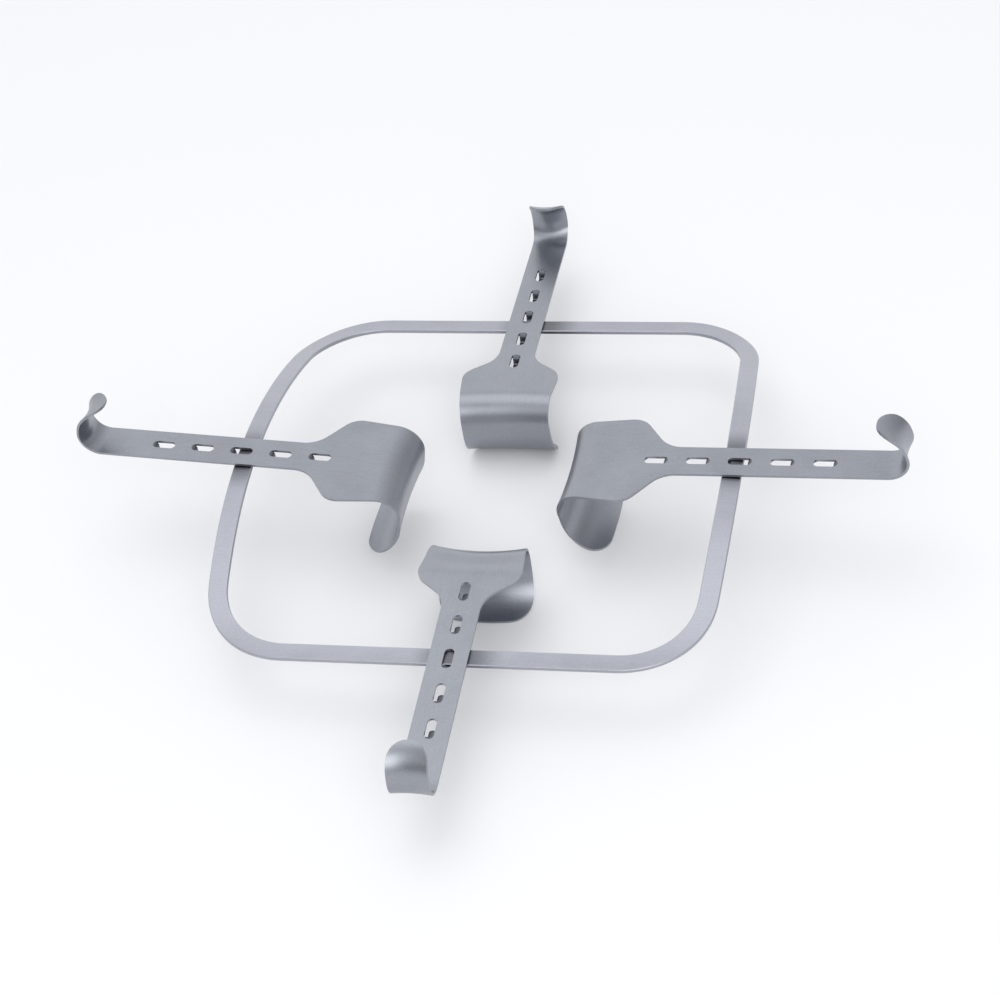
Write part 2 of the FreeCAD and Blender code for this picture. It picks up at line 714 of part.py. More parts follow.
def shapeFaults(bodies):
    for body in bodies:
        shape = body.Shape
        if shape.isNull() or not shape.isValid() or len(shape.Solids) != 1:
            yield body.Label + " has no single valid solid"


document = FreeCAD.newDocument("retractor")
makeSheet(document)
parts = [makeRing(document)]
for bladeName, seat in BLADES.items():
    madeBlade = makeBlade(document, bladeName, "end" if seat["side"] % 180 else "side")
    standOnBar(madeBlade, **seat)
    parts.append(madeBlade)
document.recompute()
faults = list(stateFaults(document)) + list(sketchFaults(document)) + list(shapeFaults(parts))
if faults:
    raise ValueError("; ".join(faults))
os.makedirs("parts", exist_ok=True)
for part in parts:
    part.Shape.exportStep(os.path.join("parts", part.Label + ".step"))
    print(part.Label, round(part.Shape.Volume, 1), part.Shape.BoundBox)
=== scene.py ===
import math
import bmesh
import bpy
from mathutils import Matrix, Vector


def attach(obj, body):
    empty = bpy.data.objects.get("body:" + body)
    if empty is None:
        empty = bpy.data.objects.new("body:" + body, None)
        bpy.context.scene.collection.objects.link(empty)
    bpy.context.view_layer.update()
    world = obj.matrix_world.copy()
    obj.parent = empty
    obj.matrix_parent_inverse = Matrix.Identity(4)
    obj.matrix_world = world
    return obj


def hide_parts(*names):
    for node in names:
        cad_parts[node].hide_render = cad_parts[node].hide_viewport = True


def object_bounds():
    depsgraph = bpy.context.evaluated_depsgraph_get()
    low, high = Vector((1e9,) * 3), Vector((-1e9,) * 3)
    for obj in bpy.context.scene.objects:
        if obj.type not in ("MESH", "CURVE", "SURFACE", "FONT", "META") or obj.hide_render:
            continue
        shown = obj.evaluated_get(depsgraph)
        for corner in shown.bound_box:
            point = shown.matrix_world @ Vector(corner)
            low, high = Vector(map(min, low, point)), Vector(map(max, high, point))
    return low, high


# Self retaining retractor: an arched flat ring and four saddle blades, all in stainless steel.
# Sizes are in millimetres and degrees, and a mesh is turned to metres as it is placed.

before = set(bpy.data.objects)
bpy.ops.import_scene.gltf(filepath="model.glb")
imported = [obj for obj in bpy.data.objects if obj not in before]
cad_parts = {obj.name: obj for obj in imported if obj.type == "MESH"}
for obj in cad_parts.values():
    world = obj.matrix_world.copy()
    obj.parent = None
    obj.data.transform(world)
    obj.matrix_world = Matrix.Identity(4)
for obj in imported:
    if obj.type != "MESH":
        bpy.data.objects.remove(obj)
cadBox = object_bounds()
metre = 0.001


def linear(code):
    # sRGB hex to linear RGBA
    parts = [int(code[i:i + 2], 16) / 255 for i in (1, 3, 5)]
    return tuple(c / 12.92 if c <= 0.04045 else ((c + 0.055) / 1.055) ** 2.4 for c in parts) + (1.0,)


def addNode(tree, kind, settings={}, inputs={}):
    # a node with its settings; an input takes a value or another node's output
    node = tree.nodes.new(kind)
    for name, value in settings.items():
        setattr(node, name, value)
    for name, value in inputs.items():
        if isinstance(value, bpy.types.NodeSocket):
            tree.links.new(value, node.inputs[name])
        else:
            node.inputs[name].default_value = value
    return node


class Sheet:
    # quads over one side of a bent sheet, with corners shared where they fall on the same place

    def __init__(self):
        self.points = []
        self.faces = []
        self.known = {}

    def corner(self, x, y, z):
        key = (round(x, 3), round(y, 3), round(z, 3))
        if key not in self.known:
            self.known[key] = len(self.points)
            self.points.append((x, y, z))
        return self.known[key]

    def strip(self, before, after):
        for a, b, c, d in zip(before, before[1:], after[1:], after):
            around = tuple(dict.fromkeys((a, b, c, d)))
            if len(around) > 2:
                self.faces.append(around)

    def rows(self, rows):
        for before, after in zip(rows, rows[1:]):
            self.strip(before, after)


def place(piece, body, placement):
    piece.data.transform(placement @ Matrix.Scale(metre, 4))
    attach(piece, body)


def settle(obj, name):
    # plain mesh of an object with its modifiers applied
    graph = bpy.context.evaluated_depsgraph_get()
    mesh = bpy.data.meshes.new_from_object(obj.evaluated_get(graph))
    bpy.data.objects.remove(obj)
    mesh.name = name
    piece = bpy.data.objects.new(name, mesh)
    bpy.context.scene.collection.objects.link(piece)
    return piece


def thicken(name, sheet, thickness, edge, materials):
    # the side is turned up first, then gets its thickness above it and a rounded rim
    mesh = bpy.data.meshes.new(name + "Side")
    mesh.from_pydata(sheet.points, [], sheet.faces)
    for material in materials:
        mesh.materials.append(material)
    side = bmesh.new()
    side.from_mesh(mesh)
    bmesh.ops.recalc_face_normals(side, faces=side.faces)
    level = max(side.faces, key=lambda f: abs(f.normal.z) * f.calc_area())
    if level.normal.z < 0.0:
        bmesh.ops.reverse_faces(side, faces=side.faces)
    side.to_mesh(mesh)
    side.free()
    mesh.polygons.foreach_set("use_smooth", [True] * len(mesh.polygons))
    obj = bpy.data.objects.new(name + "Side", mesh)
    bpy.context.scene.collection.objects.link(obj)
    solid = obj.modifiers.new("thickness", "SOLIDIFY")
    solid.thickness = thickness
    solid.offset = 1.0
    solid.use_even_offset = True
    solid.use_rim = True
    rim = obj.modifiers.new("rim", "BEVEL")
    rim.width = edge
    rim.segments = 3
    rim.limit_method = "ANGLE"
    rim.angle_limit = math.radians(50)
    rim.harden_normals = True
    rim.material = 1
    return settle(obj, name)


steel = {
    "grain": 0.667,             # blast grit; the real 0.1 mm is too fine to show, so it is drawn coarser
    "strokeWidth": 0.5,         # faint grinding strokes
    "strokeLength": 16.7,
    "cloud": 26.3,              # soft clouds left by hand finishing
    "nick": 1.11,               # nicks along the rims
    "lift": 0.1,                # height of the grain's bump
    "grainShare": 0.65,         # grain against strokes
    "cloudShare": 0.35,         # clouds against the fine pattern in the tone
    "tones": (0.58, 1.42),      # darkest and lightest share of the colour
    "roughness": (0.28, 0.42),
    "rimTone": 0.8,
    "rimRoughness": (0.24, 0.44),
    "shadeReach": (6.0, 26.0),    # painted shade round a blade's seat: full within the first, gone at the second
    # painted shade: share of the colour left at a blade's seat
    "shadeTone": 0.42,
}


def perMetre(size):
    # scale of a pattern from its real size
    return 1.0 / (size * metre)


def toned(colour, share):
    # a colour made darker or lighter, up to white
    return tuple(min(1.0, c * share) for c in linear(colour)[:3]) + (1.0,)


def satinStainless(name, colour, turn, bladeShadeSpots=()):
    # surgical stainless steel sheet, ground and then bead blasted: a soft grey sheen with fine grit,
    # faint strokes along the piece, and painted shade darkening it round the spots where a blade sits on it
    material = bpy.data.materials.new(name)
    material.use_nodes = True
    tree = material.node_tree
    shader = tree.nodes["Principled BSDF"]
    shader.inputs["Metallic"].default_value = 1.0
    spot = addNode(tree, "ShaderNodeTexCoord").outputs["Object"]

    turned = addNode(tree, "ShaderNodeMapping", {}, {
        "Vector": spot, "Rotation": (0.0, 0.0, math.radians(-turn))})
    across = perMetre(steel["strokeWidth"])
    drawn = addNode(tree, "ShaderNodeVectorMath", {"operation": "MULTIPLY"}, {
        0: turned.outputs["Vector"], 1: (perMetre(steel["strokeLength"]), across, across)})
    strokes = addNode(tree, "ShaderNodeTexNoise", {}, {
        "Vector": drawn.outputs["Vector"], "Scale": 1.0, "Detail": 3.0})
    grain = addNode(tree, "ShaderNodeTexNoise", {}, {
        "Vector": spot, "Scale": perMetre(steel["grain"]), "Detail": 2.0})
    clouds = addNode(tree, "ShaderNodeTexNoise", {}, {
        "Vector": spot, "Scale": perMetre(steel["cloud"]), "Detail": 3.0})
    fine = addNode(tree, "ShaderNodeMix", {"data_type": "FLOAT"}, {
        "Factor": steel["grainShare"], "A": strokes.outputs["Fac"], "B": grain.outputs["Fac"]})
    pattern = addNode(tree, "ShaderNodeMix", {"data_type": "FLOAT"}, {
        "Factor": steel["cloudShare"], "A": fine.outputs["Result"], "B": clouds.outputs["Fac"]})

    dark, light = (toned(colour, share) for share in steel["tones"])
    tone = addNode(tree, "ShaderNodeMix", {"data_type": "RGBA"}, {
        "Factor": pattern.outputs["Result"], "A": dark, "B": light}).outputs["Result"]
    # painted shade: the colour is darkened round each spot where a blade sits, standing in for the blades'
    # shade on the ring
    for shadeSpot in bladeShadeSpots:
        far = addNode(tree, "ShaderNodeVectorMath", {"operation": "DISTANCE"}, {
            0: spot, 1: tuple(c * metre for c in shadeSpot)})
        left = addNode(tree, "ShaderNodeMapRange", {"interpolation_type": "SMOOTHSTEP"}, {
            "Value": far.outputs["Value"],
            "From Min": steel["shadeReach"][0] * metre, "From Max": steel["shadeReach"][1] * metre,
            "To Min": steel["shadeTone"], "To Max": 1.0})
        tone = addNode(tree, "ShaderNodeVectorMath", {"operation": "SCALE"}, {
            "Vector": tone, "Scale": left.outputs["Result"]}).outputs["Vector"]
    tree.links.new(tone, shader.inputs["Base Color"])

    uneven = addNode(tree, "ShaderNodeMix", {"data_type": "FLOAT"}, {
        "Factor": 0.5, "A": clouds.outputs["Fac"], "B": fine.outputs["Result"]})
    rough = addNode(tree, "ShaderNodeMapRange", {}, {
        "Value": uneven.outputs["Result"], "From Min": 0.3, "From Max": 0.7,
        "To Min": steel["roughness"][0], "To Max": steel["roughness"][1]})
    tree.links.new(rough.outputs["Result"], shader.inputs["Roughness"])
    bump = addNode(tree, "ShaderNodeBump", {}, {
        "Height": fine.outputs["Result"], "Strength": 0.3, "Distance": steel["lift"] * metre})
    tree.links.new(bump.outputs["Normal"], shader.inputs["Normal"])
    return material


def polishedStainless(name, colour):
    # the same steel at its rounded rims, polished by handling: a little brighter, with fine nicks
    material = bpy.data.materials.new(name)
    material.use_nodes = True
    tree = material.node_tree
    shader = tree.nodes["Principled BSDF"]
    shader.inputs["Metallic"].default_value = 1.0
    spot = addNode(tree, "ShaderNodeTexCoord").outputs["Object"]
    nicks = addNode(tree, "ShaderNodeTexNoise", {}, {
        "Vector": spot, "Scale": perMetre(steel["nick"]), "Detail": 3.0})
    tone = addNode(tree, "ShaderNodeMix", {"data_type": "RGBA"}, {
        "Factor": nicks.outputs["Fac"], "A": toned(colour, steel["rimTone"]), "B": linear(colour)})
    tree.links.new(tone.outputs["Result"], shader.inputs["Base Color"])
    rough = addNode(tree, "ShaderNodeMapRange", {}, {
        "Value": nicks.outputs["Fac"],
        "To Min": steel["rimRoughness"][0], "To Max": steel["rimRoughness"][1]})
    tree.links.new(rough.outputs["Result"], shader.inputs["Roughness"])
    return material


ringSizes = {
    "window": 250.0,        # clear window, both ways
    "corner": 37.0,
    "bow": 3.5,             # how far the side rails bow out
    "width": 10.0,
    "thickness": 2.2,
    "archRadius": 304.0,    # rails arched from near to far
    "archTurn": 36.4,
    "endRadius": 143.0,     # the ends turn level again
    "edge": 0.45,
    "parts": {"rail": 30, "corner": 22, "bar": 26, "across": 6},    # faces along each, in one quarter
    "colour": "#a9abb3",
    "rimColour": "#babcc3",
    # painted shade round where the blades sit on the ring: the middle of each, in mm
    "bladeShadeSpots": [(131.0, -6.0, 0.0), (2.0, 130.0, -22.0), (-130.0, -10.0, 0.0), (6.0, -130.0, -22.0)],
}


def ringHeight(y, lift):
    # height of the arched bar's surface that lies lift above its middle surface
    sizes = ringSizes
    hill = math.radians(sizes["archTurn"] / 2)
    y = abs(y)
    crown = sizes["archRadius"] + lift
    if y <= crown * math.sin(hill):
        return math.sqrt(crown ** 2 - y ** 2) - sizes["archRadius"]
    across = (sizes["archRadius"] + sizes["endRadius"]) * math.sin(hill)
    up = (sizes["archRadius"] + sizes["endRadius"]) * math.cos(hill) - sizes["archRadius"]
    return up - math.sqrt((sizes["endRadius"] - lift) ** 2 - (across - y) ** 2)


def ringPlan():
    # stations round the window's outline: centre x and y, radius, angle and the quarter's signs
    sizes = ringSizes
    half = sizes["window"] / 2
    straight = half - sizes["corner"]
    rail = (straight ** 2 + sizes["bow"] ** 2) / (2 * sizes["bow"])
    railX = half - rail
    cornerX = railX + math.sqrt((rail - sizes["corner"]) ** 2 - straight ** 2)
    lean = math.atan2(straight, cornerX - railX)
    rest = math.pi / 2 - lean
    parts = sizes["parts"]
    stations = []
    for quarter in range(4):
        flip = 1 if quarter in (0, 3) else -1
        rise = 1 if quarter < 2 else -1
        railArc = [(railX, 0.0, rail, lean * i / parts["rail"]) for i in range(parts["rail"])]
        corner = [(cornerX, straight, sizes["corner"], lean + rest * i / parts["corner"])
                  for i in range(parts["corner"])]
        bar = [(cornerX * (1 - i / parts["bar"]), straight, sizes["corner"], math.pi / 2)
               for i in range(parts["bar"] + 1)]
        part = [(flip * x, rise * y, r, a, flip, rise) for x, y, r, a in railArc + corner + bar]
        stations.extend(part if quarter % 2 == 0 else reversed(part))
    return stations


def makeRing():
    sizes = ringSizes
    across = sizes["parts"]["across"]
    sheet = Sheet()
    rows = []
    for x, y, radius, angle, flip, rise in ringPlan():
        row = []
        for i in range(across + 1):
            reach = radius + sizes["width"] * i / across
            px = x + flip * reach * math.cos(angle)
            py = y + rise * reach * math.sin(angle)
            row.append(sheet.corner(px, py, ringHeight(py, -sizes["thickness"] / 2)))
        rows.append(row)
    sheet.rows(rows + rows[:1])
    finish = [satinStainless("ringSatinStainless", sizes["colour"], 0.0, sizes["bladeShadeSpots"]),
              polishedStainless("ringPolishedStainless", sizes["rimColour"])]
    ring = thicken("ringBar", sheet, sizes["thickness"], sizes["edge"], finish)
    place(ring, "ring", Matrix.Identity(4))
    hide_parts("ring")
    print("ring", len(ring.data.polygons), "faces")


bladeSizes = {
    "thickness": 1.4,
    "edge": 0.32,
    "seatGap": 0.3,
    "stemWidth": 20.0,
    "shoulderAngle": 53.0,
    "shoulderHollow": 15.0,
    "shoulderRound": 11.0,
    "bendRadius": 11.9,
    "bendTurn": 98.0,
    "wallRun": 6.6,
    "curlRadius": 22.8,
    "curlTurn": 51.0,
    "lipRadius": 21.0,
    "lipTurn": 26.0,
    "planRadius": 250.0,    # the saddle is turned about an upright axis this far beyond it
    "lipCorner": 12.0,
    "hookReach": 75.8,
    "hookRadius": 10.4,
    "hookTurn": 101.7,
    "hookNeck": 1.7,
    "hookDish": 2.0,        # how far the hook's middle is pressed in
    "lobeRadius": 15.1,
    "lobeTurn": 69.0,
    "lobeRound": 9.0,
    "across": 16,           # faces across the sheet
    "colour": "#9a9da4",
    "rimColour": "#b4b6bd",
}

# kinds of saddle; the near one is bent a little further back and lower, and bowed more across
saddleSizes = {
    "side": {
        "neckReach": 39.0, "plateReach": 78.0, "bendWidth": 54.0,
        "bow": 1.0, "back": 0.0, "droop": 0.0,
    },
    "far": {
        "neckReach": 42.0, "plateReach": 71.0, "bendWidth": 48.5,
        "bow": 1.0, "back": 0.0, "droop": 0.0,
    },
    "near": {
        "neckReach": 39.5, "plateReach": 71.0, "bendWidth": 48.5,
        "bow": 2.6, "back": 3.8, "droop": 2.6,
    },
}

# side of the ring, reach of the middle slot, place along the bar, swing about upright, tip about the bar
blades = {
    "right_blade": {
        "saddle": "side", "side": 0.0, "reach": 133.4,
        "along": -8.8, "swing": -2.6, "tip": -2.4,
    },
    "far_blade": {
        "saddle": "far", "side": 90.0, "reach": 136.4,
        "along": 5.1, "swing": 0.8, "tip": 0.6,
    },
    "left_blade": {
        "saddle": "side", "side": 180.0, "reach": 132.8,
        "along": 7.5, "swing": -2.4, "tip": -2.4,
    },
    "near_blade": {
        "saddle": "near", "side": 270.0, "reach": 132.6,
        "along": 2.0, "swing": -0.6, "tip": 0.6,
    },
}


def bentPath(u, w, heading, steps, pieces, turns=4.5):
    # stations (u, w) along runs and bends of a side view, without the first;
    # a run is cut into lengths of about pieces, and a bend into steps of about turns
    stations = []
    for kind, first, second in steps:
        if kind == "run":
            count = max(1, round(first / pieces))
            for i in range(count):
                u += math.cos(heading) * first / count
                w += math.sin(heading) * first / count
                stations.append((u, w))
            continue
        turn = math.radians(second)
        side = math.copysign(math.pi / 2, turn)
        centre = (u + first * math.cos(heading + side), w + first * math.sin(heading + side))
        count = max(2, round(abs(turn) / math.radians(turns)))
        for i in range(1, count + 1):
            at = heading + turn * i / count - side
            stations.append((centre[0] + first * math.cos(at), centre[1] + first * math.sin(at)))
        u, w = stations[-1]
        heading += turn
    return stations


def saddleAxis(saddle):
    # where along a blade the upright axis stands that its saddle is turned about
    sizes = bladeSizes
    return -(saddle["plateReach"] + sizes["bendRadius"] + sizes["thickness"] + sizes["planRadius"])


def halfWidth(saddle, u):
    # flat part of a blade: stem, hollow neck, sloping shoulder, side that points at the axis
    sizes = bladeSizes
    stem = sizes["stemWidth"] / 2
    lean = math.radians(sizes["shoulderAngle"])
    neck = -saddle["neckReach"]
    axis = saddleAxis(saddle)
    taper = math.asin(saddle["bendWidth"] / 2 / sizes["planRadius"])
    slope, slant = math.tan(lean), math.tan(taper)
    shoulder = (stem - slope * saddle["neckReach"] + slant * axis) / (slant + slope)
    full = slant * (shoulder - axis)
    hollow = sizes["shoulderHollow"]
    top = neck + hollow * math.tan(lean / 2)
    if u >= top:
        return stem
    if u >= top - hollow * math.sin(lean):
        return stem + hollow - math.sqrt(hollow ** 2 - (top - u) ** 2)
    corner = sizes["shoulderRound"]
    back = corner * math.tan((lean + taper) / 2)
    first = shoulder + back * math.cos(lean)
    last = shoulder - back * math.cos(taper)
    if u >= first:
        return stem + (neck - u) * slope
    if u <= last:
        return full - (shoulder - u) * slant
    centreU = last + corner * math.sin(taper)
    centreV = full - (shoulder - last) * slant - corner * math.cos(taper)
    return centreV + math.sqrt(max(0.0, corner ** 2 - (u - centreU) ** 2))


def dished(saddle, u, v, share):
    # place along the blade once the saddle is turned about its axis, by its share
    axis = saddleAxis(saddle)
    sag = axis + math.sqrt((u - axis) ** 2 - v ** 2) - u
    return u + share * (saddle["back"] + saddle["bow"] * sag)


def sideAt(saddle, u, share):
    # half width of a dished row whose middle is at u, found where the row meets the outline
    half = halfWidth(saddle, u)
    for step in range(4):   # it settles within four
        half = halfWidth(saddle, dished(saddle, u, half, share))
    return half


def addRow(sheet, w, half, along):
    # row of corners across the blade at height w; along gives the place along it for each v
    across = bladeSizes["across"]
    spots = [half * (2 * i / across - 1) for i in range(across + 1)]
    return [sheet.corner(along(v), v, w) for v in spots]


def heightAt(path, u):
    # height of a side view at a place along the blade, looked for from its free end
    for (u0, w0), (u1, w1) in zip(path[::-1], path[::-1][1:]):
        if min(u0, u1) <= u <= max(u0, u1):
            return w0 + (w1 - w0) * (u - u0) / (u1 - u0)
    raise ValueError("no height there")


slotSizes = {
    "count": 5,
    "pitch": 21.8,
    "length": 12.4,
    "width": 5.0,
}


def slotCell(sheet, saddle, middle):
    # quads between a round-ended slot and the edges of its length of the stem
    sizes = slotSizes
    across = bladeSizes["across"]
    along = 14
    reach = sizes["pitch"] / 2
    radius = sizes["width"] / 2
    spread = (sizes["length"] - sizes["width"]) / 2
    outer = []
    inner = []
    for way in (1, -1):
        side = middle + way * reach
        half = halfWidth(saddle, side)
        for i in range(across):
            share = way * (2 * i / across - 1)
            outer.append((side, half * share))
            angle = math.pi / 2 * share
            inner.append((middle + way * (spread + radius * math.cos(angle)), radius * math.sin(angle)))
        for i in range(along):
            u = middle + way * reach * (1 - 2 * i / along)
            outer.append((u, way * halfWidth(saddle, u)))
            inner.append((middle + way * spread * (1 - 2 * i / along), way * radius))
    loops = []
    for share in (0.0, 0.14, 0.4, 0.7, 1.0):    # from the slot's edge out to the stem's
        loop = [sheet.corner(iu + (ou - iu) * share, iv + (ov - iv) * share, 0.0)
                for (ou, ov), (iu, iv) in zip(outer, inner)]
        loops.append(loop + loop[:1])
    sheet.rows([loop[::-1] for loop in loops][::-1])


def saddleRows(sheet, saddle, start):
    # plate, bend, wall and curl, with the lip's corners rounded in plan
    sizes = bladeSizes
    rows = [addRow(sheet, 0.0, halfWidth(saddle, start), lambda v: start)]

    def dishedRow(u, w, half, share=1.0):
        rows.append(addRow(sheet, w, half, lambda v: dished(saddle, u, v, share)))

    reach = saddle["plateReach"] + start
    count = 16
    for i in range(1, count + 1):
        u = start - reach * i / count
        share = (i / count) ** 2 * (3 - 2 * i / count)
        dishedRow(u, -saddle["droop"] * share, sideAt(saddle, u, share), share)
    steps = [
        ("bend", sizes["bendRadius"], sizes["bendTurn"]),
        ("run", sizes["wallRun"] - saddle["droop"], 0.0),
        ("bend", sizes["curlRadius"], sizes["curlTurn"]),
        ("bend", sizes["lipRadius"], sizes["lipTurn"]),
    ]
    axis = saddleAxis(saddle)
    corner = sizes["lipCorner"]
    slant = math.asin(saddle["bendWidth"] / 2 / sizes["planRadius"])
    path = bentPath(-saddle["plateReach"], -saddle["droop"], math.pi, steps, pieces=2.2)
    fine = bentPath(-saddle["plateReach"], -saddle["droop"], math.pi, steps, pieces=0.5, turns=0.5)
    inner = path[-1][0] - axis - corner     # the corners' centres, measured from the axis
    narrow = slant - math.asin(corner / inner)
    touch = math.sqrt(inner ** 2 - corner ** 2)
    lowest = sizes["bendRadius"] + sizes["wallRun"]
    for u, w in path:
        if u - axis < touch or w > -lowest:
            dishedRow(u, w, sideAt(saddle, u, 1.0))
    count = 9
    for i in range(count + 1):
        turned = narrow + (slant + math.pi / 2 - narrow) * (1 - i / count)
        x = inner * math.cos(narrow) + corner * math.cos(turned)
        y = inner * math.sin(narrow) + corner * math.sin(turned)
        u = min(axis + math.hypot(x, y), fine[-1][0])
        dishedRow(u, heightAt(fine, u), y)
    sheet.rows(rows)


def hookRows(sheet, start):
    # stem beyond the last slot and the finger hook, pressed in across and rounded at its free end
    sizes = bladeSizes
    half = sizes["stemWidth"] / 2
    corner = sizes["lobeRound"]
    steps = [
        ("run", sizes["hookReach"] - start, 0.0),
        ("bend", sizes["hookRadius"] + sizes["thickness"], sizes["hookTurn"]),
        ("run", sizes["hookNeck"], 0.0),
        ("bend", sizes["lobeRadius"] + sizes["thickness"], sizes["lobeTurn"]),
    ]
    path = bentPath(start, 0.0, 0.0, steps, pieces=3.0)
    fine = bentPath(start, 0.0, 0.0, steps, pieces=0.5, turns=0.5)
    end = path[-1][0]
    rows = [addRow(sheet, 0.0, half, lambda v: start)]

    def hookRow(u, w, width):
        share = min(1.0, w / sizes["hookRadius"])
        press = sizes["hookDish"] * share ** 2 * (3 - 2 * share)
        rows.append(addRow(sheet, w, width, lambda v: u - press * (1 - (v / half) ** 2)))

    top = sizes["hookRadius"] + sizes["thickness"]
    for u, w in path:
        if u > end + corner or w < top:
            hookRow(u, w, half)
    count = 8
    for i in range(count + 1):
        turned = math.pi / 2 * i / count
        u = end + corner - corner * math.sin(turned)
        hookRow(u, heightAt(fine, u), half - corner + corner * math.cos(turned))
    sheet.rows(rows[::-1])


def bladeSheet(saddle):
    # underside of a blade, from the lip to the free end of the finger hook
    sheet = Sheet()
    middle = (slotSizes["count"] - 1) / 2
    for number in range(slotSizes["count"]):
        slotCell(sheet, saddle, (number - middle) * slotSizes["pitch"])
    ends = slotSizes["pitch"] * slotSizes["count"] / 2
    saddleRows(sheet, saddle, -ends)
    hookRows(sheet, ends)
    return sheet


lugSizes = {
    "width": 3.8,
    "bend": 1.0,
    "drop": 1.4,
    "foot": 5.6,
    "root": 0.4,
    "recess": 0.03,
    "tip": 1.5,
    "edge": 0.2,
    # darker than the blade steel: painted shade of the lugs in the slots
    "colour": "#696d73",
}


def lugSheet():
    # underside of one lug, pressed down out of the slot and turned in under the bar
    sizes = lugSizes
    sheet = Sheet()
    steps = [
        ("run", sizes["root"], 0.0),
        ("bend", sizes["bend"], 90.0),
        ("run", sizes["drop"], 0.0),
        ("bend", sizes["bend"] + bladeSizes["thickness"], -90.0),
        ("run", sizes["foot"], 0.0),
    ]
    path = [(slotSizes["length"] / 2 + sizes["root"], -sizes["recess"])]
    path += bentPath(path[0][0], path[0][1], math.pi, steps, pieces=0.7)
    end = path[-1][0]
    rows = []
    for u, w in path:
        half = sizes["width"] / 2
        distance = u - end
        if distance < sizes["tip"] and w < -sizes["drop"]:
            half += math.sqrt(sizes["tip"] ** 2 - (sizes["tip"] - distance) ** 2) - sizes["tip"]
        rows.append([sheet.corner(u, half * (i / 2 - 1), w) for i in range(5)])
    sheet.rows(rows)
    return sheet


def lugRow(name, lug, finish):
    # the lugs of one blade, set out at the slots' pitch about the middle slot
    tree = bpy.data.node_groups.new(name, "GeometryNodeTree")
    tree.interface.new_socket("Lug", in_out="INPUT", socket_type="NodeSocketGeometry")
    count = tree.interface.new_socket("Count", in_out="INPUT", socket_type="NodeSocketInt")
    pitch = tree.interface.new_socket("Pitch", in_out="INPUT", socket_type="NodeSocketFloat")
    tree.interface.new_socket("Row", in_out="OUTPUT", socket_type="NodeSocketGeometry")
    entry = addNode(tree, "NodeGroupInput")
    step = addNode(tree, "ShaderNodeCombineXYZ", {}, {"X": entry.outputs["Pitch"]})
    gaps = addNode(tree, "ShaderNodeMath", {"operation": "SUBTRACT"}, {0: entry.outputs["Count"], 1: 1.0})
    back = addNode(tree, "ShaderNodeMath", {"operation": "MULTIPLY"}, {0: gaps.outputs["Value"], 1: -0.5})
    start = addNode(tree, "ShaderNodeVectorMath", {"operation": "SCALE"}, {
        "Vector": step.outputs["Vector"], "Scale": back.outputs["Value"]})
    line = addNode(tree, "GeometryNodeMeshLine", {"mode": "OFFSET"}, {
        "Count": entry.outputs["Count"], "Start Location": start.outputs["Vector"],
        "Offset": step.outputs["Vector"]})
    copies = addNode(tree, "GeometryNodeInstanceOnPoints", {}, {
        "Points": line.outputs["Mesh"], "Instance": entry.outputs["Lug"]})
    real = addNode(tree, "GeometryNodeRealizeInstances", {}, {"Geometry": copies.outputs["Instances"]})
    coat = addNode(tree, "GeometryNodeSetMaterial", {}, {
        "Geometry": real.outputs["Geometry"], "Material": finish})
    addNode(tree, "NodeGroupOutput", {}, {"Row": coat.outputs["Geometry"]})
    row = lug.copy()
    bpy.context.scene.collection.objects.link(row)
    modifier = row.modifiers.new("row", "NODES")
    modifier.node_group = tree
    modifier[count.identifier] = slotSizes["count"]
    modifier[pitch.identifier] = slotSizes["pitch"]
    piece = settle(row, name)
    bpy.data.node_groups.remove(tree)
    return piece


def seatPlacement(side, reach, along, swing, tip):
    # where a blade sits on its bar: its own axes to the ring's, in metres
    ring = ringSizes
    middle = (ring["window"] + ring["width"]) / 2
    edges = [ring["window"] / 2 - reach, ring["window"] / 2 - reach + ring["width"]]
    rise = ring["thickness"] / 2 + bladeSizes["seatGap"]
    rise += max(edge * math.sin(math.radians(tip)) for edge in edges)
    own = Matrix.Rotation(math.radians(swing), 4, "Z") @ Matrix.Rotation(math.radians(tip), 4, "Y")
    turned = Matrix.Rotation(math.radians(side), 4, "Z")
    if side in (0.0, 180.0):    # on a rail, turned about the arch's axis
        lean = math.asin(along / ring["archRadius"]) * (1 if side == 0.0 else -1)
        down = Matrix.Translation((0.0, 0.0, ring["archRadius"]))
        arch = down.inverted() @ Matrix.Rotation(-lean, 4, "X") @ down
        placement = arch @ turned @ Matrix.Translation((reach, 0.0, rise)) @ own
    else:                       # on an end bar, set to the bar's slope
        hill = math.radians(ring["archTurn"] / 2)
        across = (ring["archRadius"] + ring["endRadius"]) * math.sin(hill)
        slope = math.asin((across - middle) / ring["endRadius"])
        hollow = ring["width"] ** 2 / (8 * ring["endRadius"])
        bar = Matrix.Translation((middle, along, ringHeight(middle, 0.0))) @ Matrix.Rotation(slope, 4, "Y")
        placement = turned @ bar @ Matrix.Translation((reach - middle, 0.0, rise + hollow)) @ own
    placement.translation *= metre
    return placement


